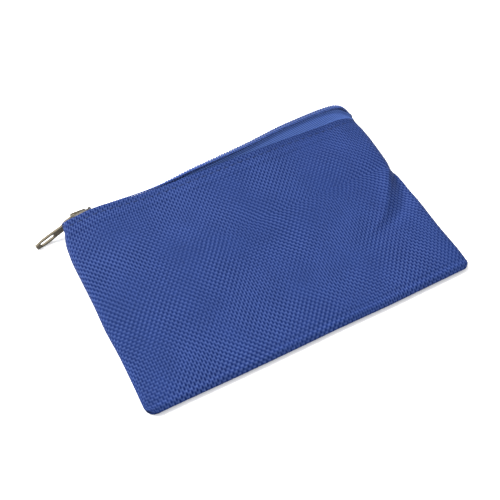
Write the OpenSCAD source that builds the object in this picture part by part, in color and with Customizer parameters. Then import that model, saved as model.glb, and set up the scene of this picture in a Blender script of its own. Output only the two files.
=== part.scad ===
// Small zipped cash pouch: two woven panels, a coil zip along one long side, a slider with a
// slotted pull, and a split ring on a ribbon tab inside.
// It lies on its back panel. +X runs along the zip, +Y points out of the mouth, +Z is up.
// The origin is near the middle of the flat face that it rests on.

/* [Pouch] */
// Finished width along the zip
pouch_w = 123.6; // [121:0.2:126]
// Depth from the bottom seam to the hems
pouch_d = 77.9; // [75:0.1:79]
// Thickness of the coated woven cloth
cloth_t = 0.65; // [0.5:0.05:0.7]
// Overall height at the mouth, with the zip open
mouth_h = 10; // [10:0.1:11]
// Overall height beside the bottom seam
foot_h = 3; // [2.8:0.1:3.6]
// Depth of cloth turned in along each hem
hem_d = 6.5; // [5:0.5:8]

/* [Zip] */
// Width of one coil row
coil_w = 2; // [1.8:0.1:2]
// Thickness of a coil row
coil_t = 1.4; // [1.2:0.1:1.4]
// Thickness of the zip tape
tape_t = 0.32; // [0.25:0.01:0.34]
// How far the slider runs from open to closed
zip_travel = 106; // [90:1:106]
// Overall length of the slider
slider_l = 9.1; // [8.5:0.1:9.2]
// Overall width of the slider
slider_w = 6.6; // [6.4:0.1:6.6]

/* [Pull tab] */
// Length from the hinge bar to the tip
pull_l = 17.5; // [16.5:0.1:18]
// Width of the pull at its hinge
pull_w = 4.9; // [4.8:0.1:4.9]
// Thickness of the plate
pull_t = 0.8; // [0.7:0.05:0.85]
// Angle in degrees by which the pull droops from the line of the zip
pull_droop = 12; // [6:1:12]
// Angle in degrees by which its tip dips towards the table
pull_dip = 11; // [4:1:11]

/* [Key ring] */
// Outside radius of the split ring
ring_r = 12; // [10:0.5:12]
// Radial width of its wire
ring_wire = 1.9; // [1.6:0.1:1.9]
// Height of its two turns together
ring_h = 2.2; // [2:0.1:2.2]
// Width of the ribbon that holds it
ribbon_w = 6; // [5:0.5:6]

/* [Thread] */
// Radius of the sewing thread
thread_r = 0.15; // [0.12:0.01:0.16]
// Length of one stitch
stitch_l = 2.4; // [2:0.1:2.6]
// Distance from one stitch to the next
stitch_pitch = 3; // [2.8:0.1:4]

/* [Hidden] */

cloth_colour = [0.19, 0.29, 0.58];
tape_colour = [0.27, 0.39, 0.68];
coil_colour = [0.15, 0.24, 0.52];
metal_colour = [0.42, 0.42, 0.39];
ring_colour = [0.55, 0.54, 0.5];

right_x = 60.4;
left_x = right_x - pouch_w;
y_hem = 35.5;
y_foot = y_hem - pouch_d;
hem_inner = y_hem - hem_d;
seam_z_foot = 1.6;
seam_z_mouth = mouth_h / 2;

// Widths over which the panels round over to their seams
round_left = 2.2;
round_right = 3.5;
round_foot = 4;

// Middle of the coil rows where they run through the slider
zip_y = 37.1;
zip_z = seam_z_mouth;
slider_x = -54.1;
// Levels of the slider's plates, measured from the middle of the coils towards the crown
plate_low = -2.2;
cavity_low = -1.4;
cavity_high = 0.9;
plate_high = 1.7;
tunnel_high = 3.3;
crown_high = 4.3;
crown_w = 1.8;
crown_back = -3.9;
crown_front = 2;
crown_leg = 0.8;
cheek_t = 0.22;
cheek_back = -1.4;
bar_r = 0.45;
bar_x = -2.35;
bar_level = 2.55;
post_half = 0.5;
bar_drop = 0.65;

tape_gap = 0.04;
ring_x = 36;
ring_y = 20;
ring_z = 3.3;
seam_thread_in = 0.35;
round_steps = 6;

function clamp01(v) = min(1, max(0, v));
function ease(from, to, v) = let (s = clamp01((v - from) / (to - from))) s * s * (3 - 2 * s);
function seam_z(y) = seam_z_foot + (seam_z_mouth - seam_z_foot) * (y - y_foot) / pouch_d;
// Height of the front panel's outer face above the table
function front_top(y) = foot_h + (mouth_h - foot_h) * pow(clamp01((y - y_foot) / pouch_d), 1.1);
// The hem is two layers of cloth, the rest is one
function layers(y) = 1 + ease(hem_inner - 0.5, hem_inner + 0.5, y);
function wall(y) = cloth_t * layers(y);
// Rise of a rounded edge, from 0 on the seam to 1 at full height
function rise(d, width) = let (s = clamp01(d / width)) sqrt(1 - (1 - s) * (1 - s));
// Height of the front panel's inner face
function front_inner(x, y) = seam_z(y) + (front_top(y) - wall(y) - seam_z(y))
    * rise(x - left_x - cloth_t, round_left - cloth_t)
    * rise(right_x - cloth_t - x, round_right - cloth_t);
// Height of the back panel's inner face
function back_inner(x, y) = seam_z(y) - (seam_z(y) - wall(y))
    * rise(x - left_x - cloth_t, round_left - cloth_t)
    * rise(right_x - cloth_t - x, round_right - cloth_t);

// Places along a side with the rounded stretches drawn as quarter circles
function rounded_places(low, high, low_w, high_w, steps) = concat(
    [for (k = [0 : round_steps - 1]) low + low_w * (1 - cos(90 * k / round_steps))],
    [for (k = [0 : steps]) low + low_w + (high - high_w - low - low_w) * k / steps],
    high_w == 0 ? [] :
    [for (k = [round_steps - 1 : -1 : 0]) high - high_w * (1 - cos(90 * k / round_steps))]);

// One face of a panel as a grid of points. side is 1 for the front panel and -1 for the back one,
// inset is 0 on the outer face and the cloth's thickness on the inner one.
function panel_grid(side, inset) = let (
    low = y_foot + inset,
    rows = rounded_places(low, y_hem, round_foot - inset, 0, 22),
    columns = rounded_places(left_x + inset, right_x - inset,
                             round_left - inset, round_right - inset, 18))
    [for (y = rows) [for (x = columns) let (
        lift = rise(x - left_x - inset, round_left - inset)
             * rise(right_x - inset - x, round_right - inset)
             * rise(y - low, round_foot - inset),
        skin = inset == 0 ? 0 : wall(y),
        reach = side > 0 ? front_top(y) - skin - seam_z(y) : seam_z(y) + back_cut - skin_floor(inset, y))
        [x, y, seam_z(y) + side * reach * lift]]];
// The back panel's outer face starts a little low and is cut flat where it rests
back_cut = 0.25;
function skin_floor(inset, y) = inset == 0 ? 0 : wall(y) + back_cut;

function grid_faces(rows, columns, first, flip) = [for (j = [0 : rows - 2], i = [0 : columns - 2], half = [0, 1])
    let (a = first + j * columns + i, b = a + 1, c = a + columns, d = c + 1,
         f = half == 0 ? [a, b, d] : [a, d, c])
    flip ? [f[2], f[1], f[0]] : f];
function strip_faces(outer, inner, flip) = [for (k = [0 : len(outer) - 2], half = [0, 1])
    let (f = half == 0 ? [outer[k], inner[k], inner[k + 1]] : [outer[k], inner[k + 1], outer[k + 1]])
    flip ? [f[2], f[1], f[0]] : f];

module panel_shell(side) {
    outer = panel_grid(side, 0);
    inner = panel_grid(side, cloth_t);
    rows = len(outer);
    columns = len(outer[0]);
    count = rows * columns;
    up = side > 0;
    left = [for (j = [0 : rows - 1]) j * columns];
    right = [for (j = [0 : rows - 1]) j * columns + columns - 1];
    foot = [for (i = [0 : columns - 1]) i];
    hem = [for (i = [0 : columns - 1]) (rows - 1) * columns + i];
    polyhedron(
        points = [for (face = [outer, inner], row = face, p = row) p],
        faces = concat(
            grid_faces(rows, columns, 0, up),
            grid_faces(rows, columns, count, !up),
            strip_faces(left, left + [for (k = left) count], !up),
            strip_faces(right, right + [for (k = right) count], up),
            strip_faces(foot, foot + [for (k = foot) count], up),
            strip_faces(hem, hem + [for (k = hem) count], !up)),
        convexity = 6);
}

// A closed solid through rings of points, one ring at each station
module sweep(rings) {
    n = len(rings[0]);
    last = (len(rings) - 1) * n;
    polyhedron(
        points = [for (ring = rings, p = ring) p],
        faces = concat(
            [for (k = [1 : n - 2]) [0, k + 1, k]],
            [for (k = [1 : n - 2]) [last, last + k, last + k + 1]],
            [for (j = [0 : len(rings) - 2], k = [0 : n - 1], half = [0, 1])
                let (a = j * n + k, b = j * n + (k + 1) % n, c = a + n, d = b + n)
                half == 0 ? [a, b, d] : [a, d, c]]),
        convexity = 4);
}

// The same with a bore along its middle
module hollow_sweep(outer, inner) {
    n = len(outer[0]);
    count = len(outer) * n;
    last = (len(outer) - 1) * n;
    polyhedron(
        points = [for (part = [outer, inner], ring = part, p = ring) p],
        faces = concat(
            [for (j = [0 : len(outer) - 2], k = [0 : n - 1], part = [0, 1], half = [0, 1])
                let (base = part * count, a = base + j * n + k, b = base + j * n + (k + 1) % n,
                     c = a + n, d = b + n, f = half == 0 ? [a, b, d] : [a, d, c])
                part == 0 ? f : [f[2], f[1], f[0]]],
            [for (k = [0 : n - 1], end = [0, 1], half = [0, 1])
                let (s = end * last, a = s + k, b = s + (k + 1) % n, c = a + count, d = b + count,
                     f = half == 0 ? [a, d, b] : [a, c, d])
                end == 0 ? f : [f[2], f[1], f[0]]]),
        convexity = 6);
}

// Routes of the two coil rows: x, y, z of the row's middle, and the way its free edge points,
// as an angle from +Y towards +Z. Chosen by hand: meshed behind the slider, apart in the mouth.
row_in = 1;
row_out = 1.7;
front_route = [
    [-61.4, zip_y, zip_z + row_in, -90],
    [-55.3, zip_y, zip_z + row_in, -90],
    [-51.1, zip_y, zip_z + row_out, -90],
    [-48.5, zip_y + 0.1, zip_z + 2.4, -86],
    [-43, 37.3, 6.6, -65],
    [-36, 37.2, 6.2, -55],
    [-30, zip_y, 6.2, -45],
    [-24, 37, 7.2, -25],
    [-17, 37, 8.7, -10],
    [-10, zip_y, 9.8, 0],
    [12, 37.8, 11.3, 25],
    [28, 38.9, 12.5, 35],
    [46, 39.5, 12.7, 35],
    [53, 39.3, 11.5, 10],
    [56.2, 38.5, 8.6, -50],
    [57.8, 37.5, 6.1, -90]];
back_route = [
    [-61.4, zip_y, zip_z - row_in, 90],
    [-55.3, zip_y, zip_z - row_in, 90],
    [-51.1, zip_y, zip_z - row_out, 90],
    [-48.5, zip_y + 0.1, zip_z - 2.4, 86],
    [-43, zip_y + 0.3, 1.7, 40],
    [-34, zip_y + 0.5, 0.9, 0],
    [0, zip_y + 0.5, 0.9, 0],
    [48, zip_y + 0.5, 0.9, 0],
    [54, zip_y + 0.4, 1.8, 40],
    [57.8, 37.3, 3.9, 90]];
route_steps = 3;

// Smooth stations along a route: Catmull-Rom between the chosen points
function spline(a, b, c, d, t) = 0.5 * (2 * b + (c - a) * t + (2 * a - 5 * b + 4 * c - d) * t * t
    + (3 * b - a - 3 * c + d) * t * t * t);
function stations(route) = let (n = len(route)) concat(
    [for (k = [0 : n - 2], s = [0 : route_steps - 1]) spline(route[max(0, k - 1)], route[k],
        route[k + 1], route[min(n - 1, k + 2)], s / route_steps)],
    [route[n - 1]]);

// A point of the cross-section: u across the row towards its free edge, v off the tape.
// side is 1 where the coil stands on the upper face in the mouth, and -1 where it hangs below.
function section_point(s, side, u, v) = let (a = s[3])
    [s[0], s[1] + u * cos(a) - side * v * sin(a), s[2] + u * sin(a) + side * v * cos(a)];
function oval_ring(s, side, half_u, half_v, n) = [for (k = [0 : n - 1])
    let (t = side * 360 * (k + 0.5) / n) section_point(s, side, half_u * cos(t), half_v * sin(t))];

coil_sides = 10;
cord_r = 0.28;
module coil_row(route, side) {
    places = stations(route);
    color(coil_colour) hollow_sweep(
        [for (s = places) oval_ring(s, side, coil_w / 2, coil_t / 2, coil_sides)],
        [for (s = places) oval_ring(s, side, cord_r + 0.06, cord_r + 0.06, coil_sides)]);
}
module coil_cord(route, side) {
    color(cloth_colour) sweep([for (s = stations(route)) oval_ring(s, side, cord_r, cord_r, coil_sides)]);
}

// The tape runs from inside the hem, round its edge, and out under the coil
tape_from = hem_inner + 0.8;
tape_bend_steps = 4;
function hem_face(x, y, side) = side > 0 ? front_inner(x, y) - tape_t / 2 - tape_gap
                                         : back_inner(x, y) + tape_t / 2 + tape_gap;
function bend(a, b, c, t) = (1 - t) * (1 - t) * a + 2 * t * (1 - t) * b + t * t * c;
function tape_line(s, side) = let (
    under = -(coil_t + tape_t) / 2 - tape_gap,
    start = [tape_from, hem_face(s[0], tape_from, side)],
    edge = [y_hem, hem_face(s[0], y_hem, side)],
    near3 = section_point(s, side, -coil_w / 2, under),
    far3 = section_point(s, side, coil_w * 0.45, under),
    near = [near3[1], near3[2]],
    far = [far3[1], far3[2]],
    corner = [max(near[0], y_hem + 0.4), edge[1]])
    concat([start], [for (k = [0 : tape_bend_steps]) bend(edge, corner, near, k / tape_bend_steps)], [far]);
function offset_line(line, d) = [for (k = [0 : len(line) - 1]) let (
    a = line[max(0, k - 1)], b = line[min(len(line) - 1, k + 1)],
    along = (b - a) / norm(b - a)) line[k] + d * [-along[1], along[0]]];
function tape_ring(s, side) = let (
    line = tape_line(s, side),
    top = offset_line(line, tape_t / 2),
    low = offset_line(line, -tape_t / 2),
    n = len(line))
    concat([for (p = top) [s[0], p[0], p[1]]], [for (k = [n - 1 : -1 : 0]) [s[0], low[k][0], low[k][1]]]);
module zip_tape(route, side) {
    color(tape_colour) sweep([for (s = stations(route)) tape_ring(s, side)]);
}

module back_panel() {
    color(cloth_colour) difference() {
        panel_shell(-1);
        translate([-pouch_w, -pouch_w, -10]) cube([2 * pouch_w, 2 * pouch_w, 10]);
    }
}
module front_panel() {
    color(cloth_colour) panel_shell(1);
}
module back_zip_tape() {
    zip_tape(back_route, -1);
}
module front_zip_tape() {
    zip_tape(front_route, 1);
}
module back_coil() {
    coil_row(back_route, -1);
}
module front_coil() {
    coil_row(front_route, 1);
}
module back_coil_cord() {
    coil_cord(back_route, -1);
}
module front_coil_cord() {
    coil_cord(front_route, 1);
}

// The slider is drawn lying flat: x along the zip, z towards the crown
module in_slider() {
    translate([slider_x, zip_y, zip_z]) rotate([-90, 0, 0]) children();
}
tail_x = -slider_l / 2;
nose_x = slider_l / 2;
tail_half = 2.6;
shoulder_half = slider_w / 2;
side_wall = 0.5;
module slider_outline(inset) {
    polygon([
        [tail_x, -tail_half + 0.3 + inset], [tail_x + 0.3, -tail_half + inset],
        [-1.8, -tail_half + inset], [1.2, -shoulder_half + inset], [3.2, -shoulder_half + inset],
        [nose_x - 0.3, -2.3], [nose_x, -1.2], [nose_x, 1.2], [nose_x - 0.3, 2.3],
        [3.2, shoulder_half - inset], [1.2, shoulder_half - inset], [-1.8, tail_half - inset],
        [tail_x + 0.3, tail_half - inset], [tail_x, tail_half - 0.3 - inset]]);
}
module slider_body() {
    flange_low = -0.55;
    pin_hole_x = 0.6;
    nose_rise = 1.9;
    color(metal_colour) in_slider() {
        difference() {
            union() {
                translate([0, 0, plate_low]) linear_extrude(cavity_low - plate_low) slider_outline(0);
                translate([0, 0, cavity_high]) linear_extrude(plate_high - cavity_high) slider_outline(0);
                // side walls that hold the coils together
                translate([0, 0, flange_low]) linear_extrude(cavity_high - flange_low) difference() {
                    slider_outline(0);
                    slider_outline(side_wall);
                    translate([3.2, -shoulder_half - 1]) square([3, 2 * shoulder_half + 2]);
                    translate([tail_x - 1, -tail_half + side_wall])
                        square([2, 2 * (tail_half - side_wall)]);
                }
                // post that parts the rows
                translate([0, 0, cavity_low]) linear_extrude(cavity_high - cavity_low)
                    polygon([[2, 0], [2.8, -post_half], [nose_x - 0.3, -post_half],
                             [nose_x - 0.3, post_half], [2.8, post_half]]);
                // raised nose
                translate([2.9, -0.9, plate_high]) cube([1.2, 1.8, nose_rise]);
                translate([3.5, 0.9, plate_high + nose_rise]) rotate([90, 0, 0])
                    cylinder(r = 0.6, h = 1.8, $fn = 32);
            }
            translate([pin_hole_x, 0, cavity_high - 1]) cylinder(r = 0.45, h = 2, $fn = 32);
            // bevel that lets the pull hang down over the tail
            translate([tail_x, -5, 1]) rotate([0, -34, 0]) cube([3, 10, 2]);
        }
    }
}
module slider_crown() {
    color(metal_colour) in_slider() {
        for (x = [crown_back, crown_front - crown_leg])
            translate([x, -crown_w / 2, plate_high]) cube([crown_leg, crown_w, tunnel_high - plate_high]);
        // cheeks that cover the lock spring, clear of the hinge bar
        for (y = [-crown_w / 2, crown_w / 2 - cheek_t])
            translate([cheek_back, y, plate_high])
                cube([crown_front - 0.4 - cheek_back, cheek_t, tunnel_high - plate_high]);
        translate([0, crown_w / 2, 0]) rotate([90, 0, 0]) linear_extrude(crown_w)
            polygon([[crown_back, tunnel_high], [crown_front, tunnel_high], [crown_front, crown_high - 0.3],
                     [crown_front - 0.3, crown_high], [crown_back + 0.6, crown_high],
                     [crown_back, crown_high - 0.4]]);
    }
}
module slider_lock_spring() {
    leaf_t = 0.2;
    pin_top = tunnel_high - 0.04 - leaf_t;
    color(ring_colour) in_slider() {
        translate([-1.6, -0.6, pin_top]) cube([2.7, 1.2, leaf_t]);
        translate([0.6, 0, cavity_high + 0.05]) cylinder(r = 0.3, h = pin_top - cavity_high - 0.05, $fn = 32);
    }
}

// Hinge bar of the pull, on the global frame
hinge = [slider_x + bar_x, zip_y + bar_level, zip_z - bar_drop];
eye_half = 2;
eye_end = 3.1;
slot_from = 9.8;
slot_to = 15.8;
slot_r = 0.85;
// One half of the plate's outline, from the hinge to the blunt tip
module pull_side() {
    half = pull_w / 2;
    polygon([[0, 0], [0, half], [3.8, half], [6, half - 1], [9, half - 0.9], [12, half - 0.75],
             [14.5, half - 0.9], [pull_l, 1], [pull_l, 0]]);
}
module pull_tab() {
    half = pull_w / 2;
    color(metal_colour) translate(hinge) rotate([0, 0, 180 + pull_droop]) rotate([0, pull_dip, 0]) {
        rotate([90, 0, 0]) translate([0, 0, -pull_t / 2]) linear_extrude(pull_t) difference() {
            union() {
                pull_side();
                mirror([0, 1]) pull_side();
            }
            translate([-1, -eye_half]) square([eye_end + 1, 2 * eye_half]);
            translate([slot_from + slot_r, -slot_r]) square([slot_to - slot_from - 2 * slot_r, 2 * slot_r]);
            translate([slot_from + slot_r, 0]) circle(r = slot_r, $fn = 32);
            translate([slot_to - slot_r, 0]) circle(r = slot_r, $fn = 32);
        }
        translate([0, 0, -half]) cylinder(r = bar_r, h = pull_w, $fn = 32);
    }
}

module split_ring() {
    groove = 0.15;
    bevel = 0.3;
    color(ring_colour) translate([ring_x, ring_y, ring_z]) difference() {
        rotate_extrude($fn = 96) polygon([
            [ring_r - ring_wire, -ring_h / 2 + bevel], [ring_r - ring_wire + bevel, -ring_h / 2],
            [ring_r - bevel, -ring_h / 2], [ring_r, -ring_h / 2 + bevel], [ring_r, -groove],
            [ring_r - groove, 0], [ring_r, groove], [ring_r, ring_h / 2 - bevel],
            [ring_r - bevel, ring_h / 2], [ring_r - ring_wire + bevel, ring_h / 2],
            [ring_r - ring_wire, ring_h / 2 - bevel]]);
        // gap at the end of the wire's upper turn
        rotate([0, 0, 150]) translate([ring_r - ring_wire - 1, -0.2, 0]) cube([ring_wire + 2, 0.4, ring_h]);
    }
}

// Ribbon folded round the ring's wire and sewn into the right seam
ribbon_t = 0.38;
loop_half = 1.5;
loop_x = 45.45;
loop_end = 49.6;
join_x = 52.5;
join_z = 3.55;
ribbon_end = right_x - 1.65;
arc_steps = 12;
module ring_tab() {
    seam_level = seam_z(ring_y);
    outer_half = loop_half + ribbon_t;
    color(cloth_colour) translate([0, ring_y + ribbon_w / 2, 0]) rotate([90, 0, 0])
        linear_extrude(ribbon_w) difference() {
            polygon(concat(
                [for (k = [0 : arc_steps]) let (a = 90 + 180 * k / arc_steps)
                    [loop_x + outer_half * cos(a), ring_z + outer_half * sin(a)]],
                [[loop_end, ring_z - outer_half], [join_x, join_z - ribbon_t],
                 [ribbon_end, seam_level - ribbon_t], [ribbon_end, seam_level + ribbon_t],
                 [join_x, join_z + ribbon_t], [loop_end, ring_z + outer_half]]));
            polygon(concat(
                [for (k = [0 : arc_steps]) let (a = 90 + 180 * k / arc_steps)
                    [loop_x + loop_half * cos(a), ring_z + loop_half * sin(a)]],
                [[loop_end, ring_z - loop_half], [join_x - 0.8, join_z],
                 [loop_end, ring_z + loop_half]]));
        }
}
module ring_tab_bartack() {
    bar_l = ribbon_w - 1;
    slope = (seam_z(ring_y) - join_z) / (ribbon_end - join_x);
    color(tape_colour) for (k = [0 : 3]) let (along = 0.6 + 0.35 * k)
        translate([join_x + along, ring_y - bar_l / 2,
                   join_z + ribbon_t + thread_r + 0.02 + slope * along])
            rotate([-90, 0, 0]) cylinder(r = thread_r, h = bar_l, $fn = 16);
}

// A row of stitches from one point to another
module stitch_row(from, to) {
    run = to - from;
    length = norm(run);
    count = floor(length / stitch_pitch);
    turn = atan2(run[1], run[0]);
    tilt = acos(run[2] / length);
    for (k = [0 : count - 1])
        translate(from + run * (k + 0.5) / count) rotate([0, tilt, turn])
            translate([0, 0, -stitch_l / 2]) cylinder(r = thread_r, h = stitch_l, $fn = 16);
}
stitch_y = y_hem - 2.8;
stitch_lift = thread_r + 0.03;
module back_topstitch() {
    level = wall(stitch_y) + tape_t + tape_gap + stitch_lift;
    color(coil_colour) stitch_row([-54, stitch_y, level], [52, stitch_y, level]);
}
module front_topstitch() {
    level = front_top(stitch_y) + stitch_lift;
    color(coil_colour) stitch_row([-60, stitch_y, level], [55, stitch_y, level]);
}
module side_seam(side) {
    inside = cloth_t + seam_thread_in;
    x = side > 0 ? right_x - inside : left_x + inside;
    low = y_foot + 3;
    high = y_hem - 0.5;
    color(coil_colour) stitch_row([x, low, seam_z(low)], [x, high, seam_z(high)]);
}
module left_seam_thread() {
    side_seam(-1);
}
module right_seam_thread() {
    side_seam(1);
}
module bottom_seam_thread() {
    y = y_foot + cloth_t + seam_thread_in;
    color(coil_colour) stitch_row([-60, y, seam_z(y)], [57, y, seam_z(y)]);
}

// Bars of thread across both rows that stop the slider
module zip_tack(x, y, z_mid, reach) {
    color(coil_colour) for (k = [0 : 2])
        translate([x, y - 0.6 + 0.5 * k, z_mid - reach]) cylinder(r = 0.16, h = 2 * reach, $fn = 16);
}
module left_zip_tack() {
    zip_tack(-61.6, zip_y, zip_z, 2.1);
}
module right_zip_tack() {
    zip_tack(58.1, zip_y + 0.3, zip_z, 2.1);
}

back_panel();
front_panel();
back_zip_tape();
front_zip_tape();
back_coil();
front_coil();
back_coil_cord();
front_coil_cord();
slider_body();
slider_crown();
slider_lock_spring();
pull_tab();
split_ring();
ring_tab();
ring_tab_bartack();
back_topstitch();
front_topstitch();
left_seam_thread();
right_seam_thread();
bottom_seam_thread();
left_zip_tack();
right_zip_tack();
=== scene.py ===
"""Looks of a small zipped pouch of woven cloth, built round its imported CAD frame.

Shapes are worked out in millimetres in the CAD's frame and turned into metres where a mesh is made.
X runs along the zip, Y from the foot of the pouch to its hem, and Z up from the table.
"""

import math

import bpy
import numpy as np
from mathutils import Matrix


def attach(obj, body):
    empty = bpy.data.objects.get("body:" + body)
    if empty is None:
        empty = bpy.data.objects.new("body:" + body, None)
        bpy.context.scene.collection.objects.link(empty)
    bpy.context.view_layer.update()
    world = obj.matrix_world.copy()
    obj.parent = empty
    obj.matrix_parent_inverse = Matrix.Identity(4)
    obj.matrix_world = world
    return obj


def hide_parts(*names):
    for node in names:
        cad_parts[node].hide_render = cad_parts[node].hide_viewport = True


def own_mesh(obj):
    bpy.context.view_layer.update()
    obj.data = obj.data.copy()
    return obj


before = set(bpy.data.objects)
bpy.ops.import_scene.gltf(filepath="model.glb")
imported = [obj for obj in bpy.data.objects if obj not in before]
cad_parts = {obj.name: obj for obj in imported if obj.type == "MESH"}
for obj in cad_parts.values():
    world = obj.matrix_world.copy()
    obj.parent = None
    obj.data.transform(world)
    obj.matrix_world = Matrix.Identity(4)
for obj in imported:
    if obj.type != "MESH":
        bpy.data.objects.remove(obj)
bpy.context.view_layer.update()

MM = 0.001
UV_NAME = "cloth"

# -------- camera and lights

CAMERA_AZIMUTH = math.radians(-26.966)
CAMERA_ELEVATION = math.radians(54.917)
CAMERA_DISTANCE = 0.28687
CAMERA_HALF_FIELD = math.radians(17.5)
CAMERA_SHIFT = (-0.0263, -0.0059)
CAMERA_NEAR = 0.01
SENSOR_WIDTH = 36
SKY_STRENGTH = 0.80


def make_camera():
    """A camera at the photo's viewing angle. Its shift frames the pouch as the photo does."""
    level = math.cos(CAMERA_ELEVATION)
    back = np.array([
        math.sin(CAMERA_AZIMUTH) * level,
        -math.cos(CAMERA_AZIMUTH) * level,
        math.sin(CAMERA_ELEVATION)])
    data = bpy.data.cameras.new("camera")
    data.sensor_width = SENSOR_WIDTH
    data.lens = SENSOR_WIDTH / 2 / math.tan(CAMERA_HALF_FIELD)
    data.shift_x, data.shift_y = CAMERA_SHIFT
    data.clip_start = CAMERA_NEAR
    camera = bpy.data.objects.new("camera", data)
    camera.location = back * CAMERA_DISTANCE
    camera.rotation_euler = (math.pi / 2 - CAMERA_ELEVATION, 0, CAMERA_AZIMUTH)
    bpy.context.scene.collection.objects.link(camera)
    bpy.context.scene.camera = camera


def area_light(name, place, size, power):
    """A round white lamp that faces the origin. Its place and size are in metres."""
    data = bpy.data.lights.new(name, "AREA")
    data.shape = "DISK"
    data.size = size
    data.energy = power
    lamp = bpy.data.objects.new(name, data)
    lamp.location = place
    x, y, z = place
    lamp.rotation_euler = (math.atan2(math.hypot(x, y), z), 0, math.atan2(-y, -x) - math.pi / 2)
    bpy.context.scene.collection.objects.link(lamp)


def make_lights():
    """A big key light beyond the zip, a weak fill on the left, and an even white sky."""
    area_light("key_light", place=(-0.75, 1.45, 1.65), size=2.4, power=146.0)
    area_light("fill_light", place=(-1.1, -0.9, 1.7), size=1.8, power=19.0)
    world = bpy.data.worlds.new("world")
    world.use_nodes = True
    background = world.node_tree.nodes["Background"]
    background.inputs["Color"].default_value = (1, 1, 1, 1)
    background.inputs["Strength"].default_value = SKY_STRENGTH
    bpy.context.scene.world = world


# -------- numbers and paths


def curve(points):
    """A smooth function through given (place, value) pairs."""
    place, value = np.array(points, float).T
    slope = np.gradient(value, place)

    def at(q):
        q = np.clip(q, place[0], place[-1])
        k = np.clip(np.searchsorted(place, q) - 1, 0, len(place) - 2)
        h = place[k + 1] - place[k]
        t = (q - place[k]) / h
        return ((1 + 2 * t) * (1 - t) ** 2 * value[k] + t * (1 - t) ** 2 * h * slope[k]
                + t * t * (3 - 2 * t) * value[k + 1] + t * t * (t - 1) * h * slope[k + 1])
    return at


def ease(low, high, v):
    """Rises smoothly from 0 at low to 1 at high."""
    s = np.clip((v - low) / (high - low), 0, 1)
    return s * s * (3 - 2 * s)


def bump(v, middle, width):
    """A bell curve, 1 in the middle."""
    return np.exp(-((v - middle) / width) ** 2)


def rise(d, width):
    """A quarter circle: from 0, straight up at an edge, to 1 at a width in from it."""
    s = np.clip(d / width, 0, 1)
    return np.sqrt(np.clip(1 - (1 - s) ** 2, 0, 1))


NOISE_CELLS = 64
NOISE_START = (20.37, 20.61)


def noise(x, y, size, seed):
    """Smooth noise from -1 to 1 over a lattice of that size."""
    table = np.random.default_rng(seed).uniform(-1, 1, (NOISE_CELLS, NOISE_CELLS))
    fx = x / size + NOISE_START[0]
    fy = y / size + NOISE_START[1]
    ix = np.floor(fx).astype(int)
    iy = np.floor(fy).astype(int)
    tx = ease(0, 1, fx - ix)
    ty = ease(0, 1, fy - iy)

    def corner(i, j):
        return table[(ix + i) % NOISE_CELLS, (iy + j) % NOISE_CELLS]
    return ((corner(0, 0) * (1 - tx) + corner(1, 0) * tx) * (1 - ty)
            + (corner(0, 1) * (1 - tx) + corner(1, 1) * tx) * ty)


def unit(v):
    return v / np.maximum(np.linalg.norm(v, axis=-1, keepdims=True), 1e-9)


def lengths(path):
    """The distance along a path to each of its points."""
    return np.concatenate([[0], np.cumsum(np.linalg.norm(np.diff(path, axis=0), axis=1))])


def sample(wanted, length, rows):
    """Rows at the wanted distances along a path, whose own rows stand at the given lengths."""
    return np.stack([np.interp(wanted, length, column) for column in rows.T], -1)


def smooth_through(knots, count):
    """Many points of a smooth path (Catmull-Rom) through a few knots."""
    padded = np.concatenate([knots[:1], knots, knots[-1:]])
    t = np.linspace(0, len(knots) - 1, count)
    i = np.minimum(t.astype(int), len(knots) - 2)
    f = (t - i)[:, None]
    a, b, c, d = (padded[i + k] for k in range(4))
    return 0.5 * (2 * b + (c - a) * f
                  + (2 * a - 5 * b + 4 * c - d) * f ** 2
                  + (3 * b - a - 3 * c + d) * f ** 3)


def straight(start, end, count):
    """Points on the straight line from each start to its end."""
    return start[:, None] + (end - start)[:, None] * np.linspace(0, 1, count)[None, :, None]


def circle(sides):
    """Angles of the points round a ring."""
    return 2 * np.pi * np.arange(sides) / sides


# -------- meshes


def add_mesh(name, points, faces, uv=None):
    """A smooth-shaded mesh. points are in mm, faces a list of arrays with one row of corner numbers per
    face, and uv has a row per point, in mm."""
    mesh = bpy.data.meshes.new(name)
    corners = np.concatenate([f.ravel() for f in faces])
    totals = np.concatenate([np.full(len(f), f.shape[1]) for f in faces])
    mesh.vertices.add(len(points))
    mesh.vertices.foreach_set("co", (points * MM).astype(np.float32).ravel())
    mesh.loops.add(len(corners))
    mesh.loops.foreach_set("vertex_index", corners.astype(np.int32))
    mesh.polygons.add(len(totals))
    mesh.polygons.foreach_set("loop_start", (np.cumsum(totals) - totals).astype(np.int32))
    mesh.polygons.foreach_set("use_smooth", np.full(len(totals), True))
    if uv is not None:
        layer = mesh.uv_layers.new(name=UV_NAME)
        layer.data.foreach_set("uv", uv[corners].astype(np.float32).ravel())
    mesh.update(calc_edges=True)
    mesh.validate()
    piece = bpy.data.objects.new(name, mesh)
    bpy.context.scene.collection.objects.link(piece)
    return piece


def grid_quads(rows, columns, first=0, flip=False, wrap=False):
    """Quads of a grid of points stored row by row. With wrap, the last column joins the first."""
    j = np.arange(rows - 1)[:, None]
    i = np.arange(columns if wrap else columns - 1)[None, :]
    a = first + j * columns + i
    b = first + j * columns + (i + 1) % columns
    quads = np.stack([a, b, b + columns, a + columns], -1).reshape(-1, 4)
    return quads[:, ::-1] if flip else quads


def loop_quads(count, sides, first):
    """Quads of a tube that closes on itself after that count of rings."""
    j, i = np.meshgrid(np.arange(count), np.arange(sides), indexing="ij")
    a = first + j * sides + i
    b = first + j * sides + (i + 1) % sides
    c = first + (j + 1) % count * sides + (i + 1) % sides
    d = first + (j + 1) % count * sides + i
    return np.stack([a, b, c, d], -1).reshape(-1, 4)


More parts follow.
